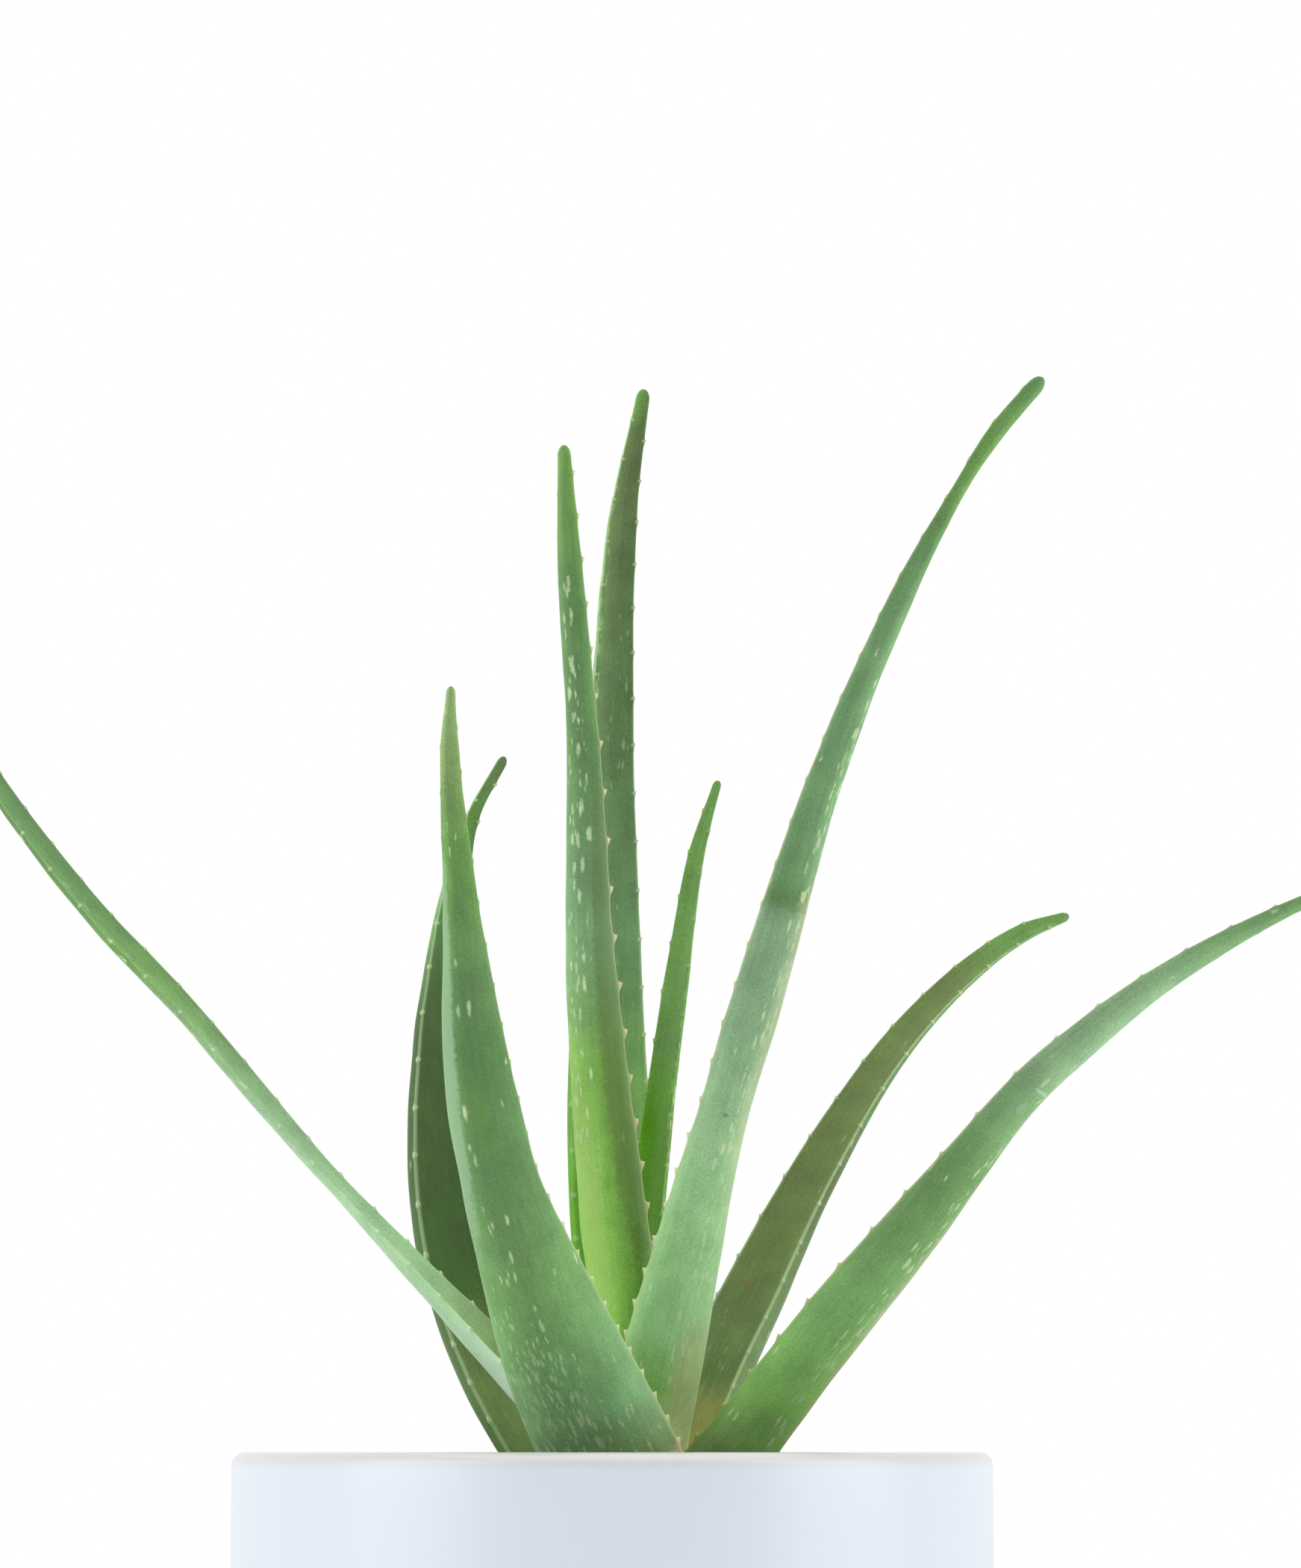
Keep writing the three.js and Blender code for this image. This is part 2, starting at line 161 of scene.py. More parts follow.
# Lengths over which unevenness sets in, from the foot, from the tip and from the margins.
CALM_FOOT, CALM_TIP, CALM_MARGIN = 15.0, 25.0, 3.0
SKIN_LUMPS = 0.14  # height of the low waves in the skin
SKIN_WAVES = ((0.5, 7.1, 1), (0.35, 4.3, -2), (0.3, 2.7, 3), (0.25, 11.0, 2))  # share, pace, turns
WAVE_START = 6.3  # the waves start anywhere in a turn
MARGIN_WANDER, MARGIN_PACE = 0.1, 9.0  # how far the margins run out of line, and over what length
RIDGE_REACH = 0.09  # half width of a ridge, as a share of half the leaf's width
RIDGES = {"leaf_front_broad": (0.56, 0.3)}  # soft lengthwise ridges: place across, height
INNER_LAP = 60.0  # keeps the inner face's pattern apart from the outer one's
LEAF_APART = (41.0, 17.0, 0.0)  # keeps each leaf's pattern apart from the next one's
LEAF_SEED, CRUMB_SEED, PERLITE_SEED = 100, 7, 8


# -------------------- leaf shapes


def spline(points, t):
    """Centripetal curve through points, at the places t from 0 to 1."""
    ends = np.vstack([2 * points[0] - points[1], points, 2 * points[-1] - points[-2]])
    place = np.clip(t, 0, 1) * (len(points) - 1)
    i = np.minimum(place.astype(int), len(points) - 2)
    f = (place - i)[:, None]
    p0, p1, p2, p3 = (ends[i + k] for k in range(4))
    pairs = ((p0, p1), (p1, p2), (p2, p3))
    d0, d1, d2 = (((b - a) ** 2).sum(1)[:, None] ** 0.25 for a, b in pairs)
    start = ((p1 - p0) / d0 - (p2 - p0) / (d0 + d1) + (p2 - p1) / d1) * d1
    end = ((p2 - p1) / d1 - (p3 - p1) / (d1 + d2) + (p3 - p2) / d2) * d1
    cubic = 2 * (p1 - p2) + start + end
    square = 3 * (p2 - p1) - 2 * start - end
    return p1 + f * (start + f * (square + f * cubic))


def along(values, t):
    """A value that runs smoothly through a list, evenly spaced from 0 to 1."""
    values = np.asarray(values, float)
    t = np.asarray(t, float)
    last = len(values) - 1
    place = np.clip(t, 0, 1) * last
    i = np.minimum(place.astype(int), last - 1)
    f = place - i
    a, b, c, d = (values[np.clip(i + k, 0, last)] for k in (-1, 0, 1, 2))
    return b + 0.5 * f * (c - a + f * (2 * a - 5 * b + 4 * c - d + f * (3 * b - a - 3 * c + d)))


def unit(vectors):
    return vectors / np.linalg.norm(vectors, axis=-1, keepdims=True)


class Leaf:
    """A leaf's centre line, with its frame and width at any share s of its length."""

    def __init__(self, face, teeth, stations, thick=THICK, pitch=TOOTH_PITCH, ridge=None):
        stations = np.array(stations, float)
        self.points, self.widths = stations[:, :3], stations[:, 3]
        self.face, self.thick = face, thick
        self.tooth_heights, self.pitch, self.ridge = teeth, pitch, ridge
        self.steps = np.linspace(0, 1, 201)
        track = spline(self.points, self.steps)
        self.reached = np.r_[0, np.cumsum(np.linalg.norm(np.diff(track, axis=0), axis=1))]
        self.length = self.reached[-1]

    def at(self, s):
        t = np.interp(s * self.length, self.reached, self.steps)
        nudge = 1e-4  # either way, to find which way the centre line runs
        centre = spline(self.points, t)
        ahead = unit(spline(self.points, t + nudge) - spline(self.points, t - nudge))
        turn = np.radians(self.face[0] + (self.face[1] - self.face[0]) * s)
        inward = np.stack([np.cos(turn), np.sin(turn), np.zeros_like(turn)], 1)
        inward = unit(inward - ahead * (inward * ahead).sum(1)[:, None])
        return centre, ahead, inward, np.cross(ahead, inward), along(self.widths, t)

    def teeth(self, side):
        """Distances from the foot of one margin's teeth."""
        reached = TOOTH_FIRST + (TOOTH_STAGGER * self.pitch[0] if side < 0 else 0)
        found = []
        while reached < self.length - TOOTH_LAST:
            found.append(reached)
            reached += float(along(self.pitch, reached / self.length))
        return np.array(found)


def wander(places, spacing, draw):
    """Smooth noise from -1 to 1 along a line, with one random value for every spacing."""
    count = int(places.max() / spacing) + 3
    values = draw.uniform(-1, 1, count)
    return along(values, places / (spacing * (count - 1)))


def leaf_rows(leaf):
    """Distances of the cross-sections from the foot, and how far each is shrunk at the tip."""
    tip = TIP_ROUND * leaf.widths[-1]
    body = leaf.length - tip
    places = np.linspace(0, body, int(body / ROW_STEP) + 1)
    taken = {0, len(places) - 1}
    for place in np.concatenate([leaf.teeth(-1), leaf.teeth(1)]):
        nearest = int(np.abs(places - place).argmin())
        if nearest not in taken and abs(places[nearest] - place) < ROW_STEP:
            places[nearest] = place
            taken.add(nearest)
    angle = np.arange(1, TIP_ROWS + 1) / (TIP_ROWS + 0.5) * math.pi / 2
    places = np.r_[places, body + tip * np.sin(angle)]
    shrink = np.r_[np.ones(len(places) - TIP_ROWS), np.cos(angle)]
    return places, shrink


def crowded(steps):
    """Places from 0 to 1 that gather at both ends."""
    even = np.arange(steps + 1) / steps
    return even - CROWDING * np.sin(2 * math.pi * even) / (2 * math.pi)


def leaf_section(leaf, s, width):
    """Cross-sections, one per row: how far beside the centre line and over it their points are."""
    channel = ((FOOT_CHANNEL + (TIP_CHANNEL - FOOT_CHANNEL) * np.sqrt(s)) * width)[:, None]
    width = width[:, None]
    lift = LIFT * width
    outer = (math.pi + 2 * CURL) * crowded(OUTER_STEPS) - CURL
    inner = math.pi * crowded(INNER_STEPS)[1:-1]
    below = -(leaf.thick * width + channel) * np.sin(outer)
    above = -lift * np.sin(outer) / math.sin(CURL)
    shoulder = np.maximum(SHOULDER * width, -channel - lift)
    floor = lift - (channel + lift + shoulder) * np.sin(inner) ** 2 + shoulder * np.sin(inner)
    rise = np.hstack([np.where(np.sin(outer) > 0, below, above), floor])
    beside = width / 2 * np.hstack([np.cos(outer), -math.cos(CURL) * np.cos(inner)])
    return beside, rise


def skin_waves(places, around, draw):
    """Height of the low waves in the skin, row by row, as a share of the full height."""
    turn = 2 * math.pi * np.arange(around) / around
    return sum(
        share * np.sin(places[:, None] / pace + turns * turn[None] + draw.uniform(0, WAVE_START))
        for share, pace, turns in SKIN_WAVES
    )


def grow_teeth(leaf, places, beside, rise, edge):
    """Cross-sections with their teeth, how far each point leans ahead, and where the teeth are."""
    hooked = np.zeros_like(beside)
    tooth = np.zeros_like(beside)
    for side in (-1, 1):
        mine = np.sign(beside) == side
        near = np.clip(1 - edge / TOOTH_FLAT, 0, 1) * mine
        broad = np.exp(-((edge / SWELL_ACROSS) ** 2)) * mine
        for place in leaf.teeth(side):
            height = float(along(leaf.tooth_heights, place / leaf.length))
            reach = np.abs(places - place) / (TOOTH_BASE * height)
            spike = (np.clip(1 - reach, 0, 1) ** TOOTH_TAPER)[:, None] * near**TOOTH_FULL
            swell = np.exp(-((reach / SWELL_ALONG) ** 2))[:, None] * broad * TOOTH_SWELL
            out = (height - TOOTH_SWELL) * spike + swell
            beside = beside + side * math.cos(TOOTH_TILT) * out
            rise = rise + math.sin(TOOTH_TILT) * out
            hooked = hooked + TOOTH_HOOK * height * spike**TOOTH_BEND
            tooth = np.maximum(tooth, spike)
    return beside, rise, hooked, tooth


def leaf_form(leaf, draw):
    """The points of a leaf, row by row, and what its skin is coloured by at each point."""
    places, shrink = leaf_rows(leaf)
    s = places / leaf.length
    centre, ahead, inward, across, width = leaf.at(s)
    beside, rise = leaf_section(leaf, s, width)
    shape = beside.shape
    around = shape[1]
    half = (width / 2)[:, None]
    across_share = beside / half
    on_outer = np.arange(around) <= OUTER_STEPS
    at_margin = np.isin(np.arange(around), (0, OUTER_STEPS))
    steps = np.hypot(np.diff(beside, axis=1), np.diff(rise, axis=1))
    lap = np.c_[np.zeros(len(places)), np.cumsum(steps, axis=1)]
    lap = np.where(on_outer, lap[:, [OUTER_STEPS // 2]] - lap, INNER_LAP + beside)
    beside, rise = beside * shrink[:, None], rise * shrink[:, None]
    margin_beside = half * math.cos(CURL) * shrink[:, None]
    margin_rise = (LIFT * width * shrink)[:, None]
    edge = np.hypot(np.abs(beside) - margin_beside, rise - margin_rise)

    fade = np.minimum(places / CALM_FOOT, (leaf.length - places) / CALM_TIP)
    fade = np.clip(fade, 0, 1)[:, None]
    lumps = SKIN_LUMPS * skin_waves(places, around, draw) * fade
    rise = rise + lumps * np.clip(edge / CALM_MARGIN, 0, 1) * np.where(on_outer, -1, 1)
    if leaf.ridge:
        place, height = leaf.ridge
        ridge = np.exp(-(((across_share - place) / RIDGE_REACH) ** 2))
        rise = rise - height * ridge * on_outer * fade
    wanders = [wander(places, MARGIN_PACE, draw)[:, None] for side in (1, -1)]
    margins = np.where(beside > 0, *wanders)
    beside = beside + MARGIN_WANDER * margins * across_share * fade
    beside, rise, hooked, tooth = grow_teeth(leaf, places, beside, rise, edge)

    rings = (
        centre[:, None]
        + across[:, None] * beside[..., None]
        + inward[:, None] * rise[..., None]
        + ahead[:, None] * hooked[..., None]
    )
    reached = np.broadcast_to(places[:, None], shape)
    skin = {
        "share": np.broadcast_to(s[:, None], shape),
        "side": across_share,
        "inner": np.broadcast_to(np.where(at_margin, 0.5, ~on_outer * 1.0), shape),
        "rim": edge / width[:, None],
        "tooth": tooth,
        "grown": np.stack([beside, rise, reached], -1),
        "lap": np.stack([lap, reached, np.zeros(shape)], -1),
    }
    return rings, skin


def leaf_sizes(node):
    """A leaf's length and its mean width."""
    leaf = Leaf(**LEAVES[node])
    return leaf.length, float(leaf.widths.mean())


def link(thing):
    bpy.context.scene.collection.objects.link(thing)
    return thing


def new_mesh(name, points, quads, triangles=()):
    """A smooth-shaded mesh object from points in millimetres."""
    mesh = bpy.data.meshes.new(name)
    corners = np.r_[np.asarray(quads, np.int32).ravel(), np.asarray(triangles, np.int32).ravel()]
    sizes = np.r_[np.full(len(quads), 4), np.full(len(triangles), 3)].astype(np.int32)
    mesh.vertices.add(len(points))
    mesh.vertices.foreach_set("co", (np.asarray(points) * MM).astype(np.float32).ravel())
    mesh.loops.add(len(corners))
    mesh.loops.foreach_set("vertex_index", corners.astype(np.int32))
    mesh.polygons.add(len(sizes))
    mesh.polygons.foreach_set("loop_start", np.r_[0, np.cumsum(sizes)[:-1]].astype(np.int32))
    mesh.polygons.foreach_set("use_smooth", np.ones(len(sizes), bool))
    mesh.update(calc_edges=True)
    mesh.validate()
    return link(bpy.data.objects.new(name, mesh))


def closed_skin(name, points, rows, around):
    """A closed mesh over rings of points, with the middles of its two ends as the last points."""
    row, i = np.meshgrid(np.arange(rows - 1), np.arange(around), indexing="ij")
    j = (i + 1) % around
    here, above = row * around, (row + 1) * around
    quads = np.stack([here + i, here + j, above + j, above + i], -1).reshape(-1, 4)
    i, j = i[0], j[0]
    last_ring = (rows - 1) * around
    first_end = np.stack([j, i, np.full(around, len(points) - 2)], 1)
    last_end = np.stack([last_ring + i, last_ring + j, np.full(around, len(points) - 1)], 1)
    return new_mesh(name, points, quads, np.vstack([first_end, last_end]))


def set_attribute(mesh, name, values):
    flat = np.ascontiguousarray(values, np.float32)
    if flat.ndim == 2:
        mesh.attributes.new(name, "FLOAT_VECTOR", "POINT").data.foreach_set("vector", flat.ravel())
    else:
        mesh.attributes.new(name, "FLOAT", "POINT").data.foreach_set("value", flat)


def grow_leaf(node, number):
    leaf = Leaf(**LEAVES[node], ridge=RIDGES.get(node))
    rings, skin = leaf_form(leaf, np.random.default_rng(LEAF_SEED + number))
    rows, around = rings.shape[:2]
    points = np.vstack([rings.reshape(-1, 3), rings[0].mean(0), rings[-1].mean(0)])
    blade = closed_skin("blade_" + node.removeprefix("leaf_"), points, rows, around)
    for name, values in skin.items():
        flat = values.reshape(rows * around, *values.shape[2:])
        full = np.concatenate([flat, [values[0].mean(0), values[-1].mean(0)]])
        if name == "grown":
            full = full + number * np.array(LEAF_APART)
        set_attribute(blade.data, name, full)
    return blade


# -------------------- materials


def srgb(r, g, b):
    """A colour given in 0 to 255 as it shows on a screen."""
    linear = [((v / 255 + 0.055) / 1.055) ** 2.4 if v > 10 else v / 255 / 12.92 for v in (r, g, b)]
    return (*linear, 1.0)


class Nodes:
    """Short names for building a tree of shader nodes."""

    def __init__(self, tree):
        self.tree = tree

    def feed(self, sockets, values):
        """Gives sockets, by name or number, what feeds them: another node's output or a value."""
        for key, value in values.items():
            if isinstance(value, bpy.types.NodeSocket):
                self.tree.links.new(value, sockets[key])
            else:
                sockets[key].default_value = value

    def add(self, kind, inputs, **settings):
        node = self.tree.nodes.new("ShaderNode" + kind)
        for name, value in settings.items():
            setattr(node, name, value)
        self.feed(node.inputs, inputs)
        return node

    def attribute(self, name, output="Fac"):
        return self.add("Attribute", {}, attribute_name=name).outputs[output]

    def place(self, kind="Object"):
        return self.add("TexCoord", {}).outputs[kind]

    def part(self, vector, axis):
        return self.add("SeparateXYZ", {0: vector}).outputs[axis]

    def math(self, operation, a, b=0.0, c=0.0):
        return self.add("Math", {0: a, 1: b, 2: c}, operation=operation).outputs[0]

    def vector_math(self, operation, a, b):
        return self.add("VectorMath", {0: a, 1: b}, operation=operation).outputs["Vector"]

    def mix(self, share, a, b, blend="MIX"):
        inputs = {0: share, 6: a, 7: b}
        return self.add("Mix", inputs, data_type="RGBA", blend_type=blend).outputs[2]

    def spread(self, value, low, high, to_low=0.0, to_high=1.0):
        """Maps low..high smoothly to to_low..to_high, held at both ends."""
        inputs = dict(enumerate((value, low, high, to_low, to_high)))
        return self.add("MapRange", inputs, interpolation_type="SMOOTHSTEP").outputs[0]

    def ramp(self, value, stops):
        """Colours, or plain amounts, at places from 0 to 1."""
        node = self.add("ValToRGB", {0: value})
        elements = node.color_ramp.elements
        while len(elements) < len(stops):
            elements.new(0.5)
        for element, (place, colour) in zip(elements, stops):
            plain = isinstance(colour, (int, float))
            element.position = place
            element.color = (colour, colour, colour, 1) if plain else colour
        return node.outputs[0]

    def noise(self, vector, scale, detail, rough=0.5, output="Fac"):
        inputs = dict(Vector=vector, Scale=scale, Detail=detail, Roughness=rough)
        return self.add("TexNoise", inputs).outputs[output]

    def cells(self, vector, scale, dimensions="3D"):
        """Distance from the middle of the nearest cell, and the cell's three random values."""
        inputs = dict(Vector=vector, Scale=scale)
        found = self.add("TexVoronoi", inputs, voronoi_dimensions=dimensions).outputs
        return found["Distance"], self.add("SeparateColor", {0: found["Color"]}).outputs

    def bump(self, height, distance, strength):
        inputs = dict(Strength=strength, Distance=distance, Height=height)
        return self.add("Bump", inputs).outputs[0]


class Skin(Nodes):
    """The nodes of one material."""

    def __init__(self, name):
        self.material = bpy.data.materials.new(name)
        self.material.use_nodes = True
        super().__init__(self.material.node_tree)

    def finish(self, **values):
        """The material, with its shader's inputs; a name has _ where the input has a space."""
        inputs = self.tree.nodes["Principled BSDF"].inputs
        self.feed(inputs, {name.replace("_", " "): value for name, value in values.items()})
        return self.material


# Skin colours as they show in soft daylight.
HUES = dict(
    frost=(186, 208, 184), bloom=(156, 189, 148), pale=(138, 174, 128),
    fresh=(122, 162, 108), leafy=(106, 148, 86), cool=(105, 144, 96),
    deep=(92, 131, 76), shade=(84, 124, 68), dark=(69, 98, 46),
    olive=(88, 112, 64), dusk=(88, 115, 70), brown_green=(101, 121, 62),
    umber=(90, 107, 62), sage=(124, 157, 118), fern=(98, 131, 82),
    moss=(108, 129, 80), grass=(98, 140, 68), yellow_green=(117, 163, 70),
    lime=(130, 186, 76), khaki=(122, 151, 90), sallow=(138, 167, 108),
    spring=(106, 150, 76), vivid=(88, 148, 22), acid=(78, 134, 4),
    straw=(178, 180, 128), cream=(212, 210, 160), papery=(196, 182, 140),
    tan=(168, 150, 104), brown=(150, 102, 48), rust=(150, 100, 70),
    scar=(152, 176, 142), fleck=(194, 215, 166),
)
HUES = {name: srgb(*hue) for name, hue in HUES.items()}

# What each leaf's skin looks like.
# outer, inner: hues with the place they are at, in percent of the way from foot to tip.
# foot and tip tones: painted light and shade across a leaf, as the lamps fall across it, evenly
# one from the margin at side -1 to the one at +1; 0.5 leaves the hue as it is.
# paler foot: how much lighter the hues are at the foot, partly the foot's own paler skin and
# partly painted light over the shade in the heart of the rosette.
# flecks: places with pale flecks, as share, side, reach along, reach across, and how many.
# marks: small spots and longer bands, some of them painted light and shade, as share, side, half
# length and half width in millimetres, hue, strength.
# edge: how plainly the margin's horny line stands out, and its reach as a share of the width.
# thorns: how plainly the teeth stand out.
# horn: hues of the horny line and the teeth, and how brown the points of the teeth are; both
# are pale green where a look gives none.
LOOKS = {
    "leaf_left_low": dict(
        outer="frost 0, frost 14, bloom 22, bloom 42, pale 52, spring 64, deep 80, deep 100",
        inner="tan 0, moss 16, pale 30, pale 42, fresh 50, spring 62, deep 80, deep 100",
        foot_shading_painted=(0.48, 0.49, 0.5, 0.49, 0.47),
        tip_shading_painted=(0.58, 0.54, 0.5, 0.46, 0.42),
        paler_and_lit_foot=1.6,
        flecks=((0.3, -0.6, 0.3, 0.5, 0.25), (0.62, -0.7, 0.25, 0.5, 0.35)),
        edge=(0.2, 0.05), thorns=0.6,
    ),
    "leaf_left_rear": dict(
        outer="dark 0, dark 68, leafy 78, pale 84, fresh 92, fresh 100",
        inner="umber 0, umber 30, dark 36, dark 70, shade 78, grass 86, grass 92, moss 100",
        foot_shading_painted=(0.5, 0.5),
        tip_shading_painted=(0.54, 0.52, 0.5, 0.48, 0.46),
        paler_and_lit_foot=1.9,
        edge=(0.35, 0.045), thorns=0.8,
    ),
    "leaf_front_broad": dict(
        outer=(
            "umber 0, umber 12, cool 20, leafy 36, deep 48, deep 56, shade 62, deep 70,"
            " grass 84, khaki 92, sallow 100"
        ),
        inner="moss 0, leafy 100",
        foot_shading_painted=(0.5, 0.55, 0.53, 0.5, 0.48, 0.47, 0.49, 0.58, 0.6),
        tip_shading_painted=(0.62, 0.58, 0.53, 0.48, 0.45, 0.46, 0.57, 0.62, 0.62),
        paler_and_lit_foot=1.8,
        flecks=(
            (0.22, 0.35, 0.12, 0.75, 1.0), (0.14, 0.1, 0.09, 1.0, 0.9),
            (0.3, 0.3, 0.14, 0.6, 0.3), (0.6, 0.42, 0.3, 0.16, 0.25),
        ),
        marks=(
            (0.565, -0.62, 0.9, 0.3, "straw", 0.6), (0.55, 0.0, 9.0, 2.3, "vivid", 0.18),
            # The long bloom mark along the left side is partly pale waxy skin and partly a painted
            # highlight where the left lamp falls.
            (0.56, 0.42, 1.9, 0.55, "fleck", 0.35), (0.62, 0.88, 42.0, 3.0, "bloom", 0.6),
            (0.08, -0.9, 9.0, 3.0, "papery", 0.8),
        ),
        edge=(0.5, 0.175), thorns=0.9, horn=("cream", "cream", 0.1),
    ),
    "leaf_centre_front": dict(
        outer=(
            "yellow_green 0, yellow_green 40, fresh 50, cool 58, deep 72, deep 85, grass 93,"
            " spring 100"
        ),
        inner="moss 0, deep 100",
        foot_shading_painted=(0.31, 0.36, 0.49, 0.545, 0.565),
        tip_shading_painted=(0.6, 0.46, 0.42, 0.55, 0.71),
        paler_and_lit_foot=2.0,
        flecks=(
            (0.67, 0.15, 0.24, 0.65, 0.6), (0.45, 0.5, 0.2, 0.35, 0.4),
            (0.24, 0.75, 0.2, 0.2, 0.35),
        ),
        # The long umber band along the right margin is partly a brownish stripe and partly painted
        # shade where the face curves away.
        marks=((0.45, -0.9, 58.0, 2.8, "umber", 0.5), (0.22, 0.7, 42.0, 4.5, "tan", 0.22)),
        edge=(0.75, 0.16), thorns=1.0, horn=("straw", "cream", 0.8),
    ),
    "leaf_centre_rear": dict(
        outer="acid 0, vivid 26, grass 40, leafy 56, leafy 100",
        inner=(
            "acid 0, acid 26, grass 33, leafy 42, cool 50, fern 60, dusk 70, dusk 75,"
            " olive 86, umber 94, grass 100"
        ),
        foot_shading_painted=(0.5, 0.5, 0.5, 0.51, 0.53),
        tip_shading_painted=(0.76, 0.6, 0.47, 0.45, 0.45),
        paler_and_lit_foot=1.6,
        flecks=((0.72, 0.3, 0.1, 0.6, 0.3), (0.8, -0.85, 0.16, 0.2, 1.0)),
        edge=(0.1, 0.04), thorns=0.5,
    ),
    "leaf_young": dict(
        outer="lime 0, yellow_green 40, spring 100",
        inner="acid 0, acid 36, vivid 50, grass 60, spring 70, spring 100",
        foot_shading_painted=(0.66, 0.56, 0.48, 0.42, 0.38),
        tip_shading_painted=(0.52, 0.5, 0.48, 0.5, 0.51),
        paler_and_lit_foot=1.9,
        flecks=((0.45, 0.9, 0.22, 0.2, 1.0),),
        edge=(0.2, 0.05), thorns=0.25, horn=("yellow_green", "fleck", 0.0),
    ),
    "leaf_right_tall": dict(
        outer=(
            "papery 0, straw 6, spring 12, fresh 17, fresh 24, pale 32, sage 42, sage 51.8,"
            " deep 52.6, cool 55, cool 75, deep 84, grass 92, deep 100"
        ),
        inner="moss 0, deep 50, leafy 100",
        foot_shading_painted=(0.6, 0.56, 0.51, 0.5, 0.53),
        tip_shading_painted=(0.76, 0.66, 0.49, 0.46, 0.47),
        paler_and_lit_foot=1.65,
        flecks=(
            (0.36, -0.6, 0.28, 0.55, 1.0), (0.16, -0.3, 0.12, 0.6, 0.9),
            (0.3, -0.1, 0.2, 0.35, 0.4), (0.56, -0.55, 0.16, 0.45, 0.9),
        ),
        marks=(
            (0.525, -0.45, 0.9, 1.6, "tan", 0.3), (0.41, -0.85, 42.0, 3.0, "papery", 0.2),
            # The cream patch at the foot is partly pale skin and partly painted light over the
            # shade where the leaves meet.
            (0.04, -0.2, 8.0, 4.0, "cream", 0.5), (0.345, 0.3, 0.5, 0.5, "shade", 0.6),
            (0.13, -0.6, 13.0, 4.0, "straw", 0.5),
        ),
        edge=(0.36, 0.175), thorns=0.95, horn=("cream", "cream", 0.1),
    ),
    "leaf_right_rear": dict(
        outer="olive 0, olive 50, leafy 80, leafy 100",
        inner=(
            "papery 0, papery 6, tan 12, umber 20, umber 30, brown_green 40, brown_green 82,"
            " grass 90, grass 100"
        ),
        foot_shading_painted=(0.5, 0.5),
        tip_shading_painted=(0.5, 0.5, 0.5, 0.53, 0.57),
        paler_and_lit_foot=2.0,
        flecks=((0.18, 0.0, 0.14, 0.9, 0.3),),
        marks=((0.335, -0.25, 0.5, 1.3, "rust", 0.6), (0.05, 0.0, 1.2, 0.8, "brown", 0.7)),
        edge=(0.45, 0.05), thorns=0.6,
    ),
    "leaf_right_low": dict(
        outer=(
            "tan 0, olive 4, olive 12, spring 20, leafy 32, leafy 50, fresh 58.5, fresh 60,"
            " pale 63, pale 76, fresh 84, leafy 100"
        ),
        inner="moss 0, deep 50, leafy 100",
        foot_shading_painted=(0.6, 0.57, 0.52, 0.48, 0.47),
        tip_shading_painted=(0.63, 0.58, 0.51, 0.42, 0.36),
        paler_and_lit_foot=1.9,
        flecks=(
            (0.38, -0.5, 0.2, 0.45, 0.75), (0.24, -0.45, 0.12, 0.5, 0.5),
            (0.54, -0.8, 0.2, 0.3, 0.5),
        ),
        marks=(
            (0.585, -0.1, 1.6, 1.4, "scar", 0.6), (0.61, -0.4, 0.5, 2.6, "frost", 0.6),
            (0.3, -0.95, 48.0, 2.2, "papery", 0.3),
        ),
        edge=(0.5, 0.16), thorns=0.6, horn=("straw", "cream", 0.3),
    ),
}

# How the patterns of a leaf's skin are drawn. Scales are per millimetre.
DRIFT = 0.03  # how far the hues run out of place, as a share of the leaf's length
DRIFT_SCALE, VEIN_SCALE, BLOTCH_SCALE, GRAIN_SCALE = 0.2, 1.3, 0.13, 2.6
VEIN_STRETCH = (1.0, 1.0, 0.035)
# How far each is mixed in, and its contrast.
VEIN_DEPTH, BLOTCH_DEPTH, GRAIN_DEPTH = (0.5, 0.08), (0.7, 0.09), (1.0, 0.12)
PALE_AND_LIT_FOOT = (0.12, 0.5)  # where the paler foot, partly painted light, ends
PAINTED_SHADING_MEETS = (0.25, 0.55)  # where the foot's painted light and shade give way to the tip's
MIDDLE = (0.3, 0.7)  # the part of a noise's range that its light and dark are spread over
FEW = 0.015  # share of the places that hold a fleck where a look asks for none
FLECKS_END = (1.3, 0.25)  # squares of their reach between which flecks get as many as they may
FLECK_WOBBLE = (0.7, 2.0, 0.0)  # how far the flecks are out of shape, across and along
# Sets of flecks that lie over each other: room for one across and along, how many, seed.
FLECK_SETS = (((2.0, 6.2), 1.0, 3.0), ((1.4, 4.8), 0.75, 11.0), ((1.7, 5.5), 0.8, 23.0))
FLECK_REACH = (0.13, 0.17)  # of the smallest fleck in its room, and how much the largest adds
FLECK_EDGE = (-0.05, 0.16)  # distances inside its outline between which a fleck grows plain
FLECK_STRENGTH = 0.8
INNER_FLECKS = 0.35  # how plain the flecks are on the inner face
PATCH_EDGE = (1.3, 0.5)  # a mark fades out between these squares of its reach
PATCH_RAGGED = 1.4  # how uneven a mark's outline is
INNER_EDGE = 0.05  # the horny line reaches no further than this share over the inner face
TO_INNER = (0.45, 0.6)  # where a margin's outer side gives way to its inner side
LINE_CORE = 0.24  # share of the horny line's reach in which it is plain
LINE_FADES, LINE_AT_TIP = (0.8, 0.96), 0.4  # it is fainter towards the tip
PLAIN_HORN = ("fleck", "fleck", 0.0)
TOOTH_HUE, POINT_HUE = (0.06, 0.5), (0.55, 0.9)  # how far up a tooth its two colours set in


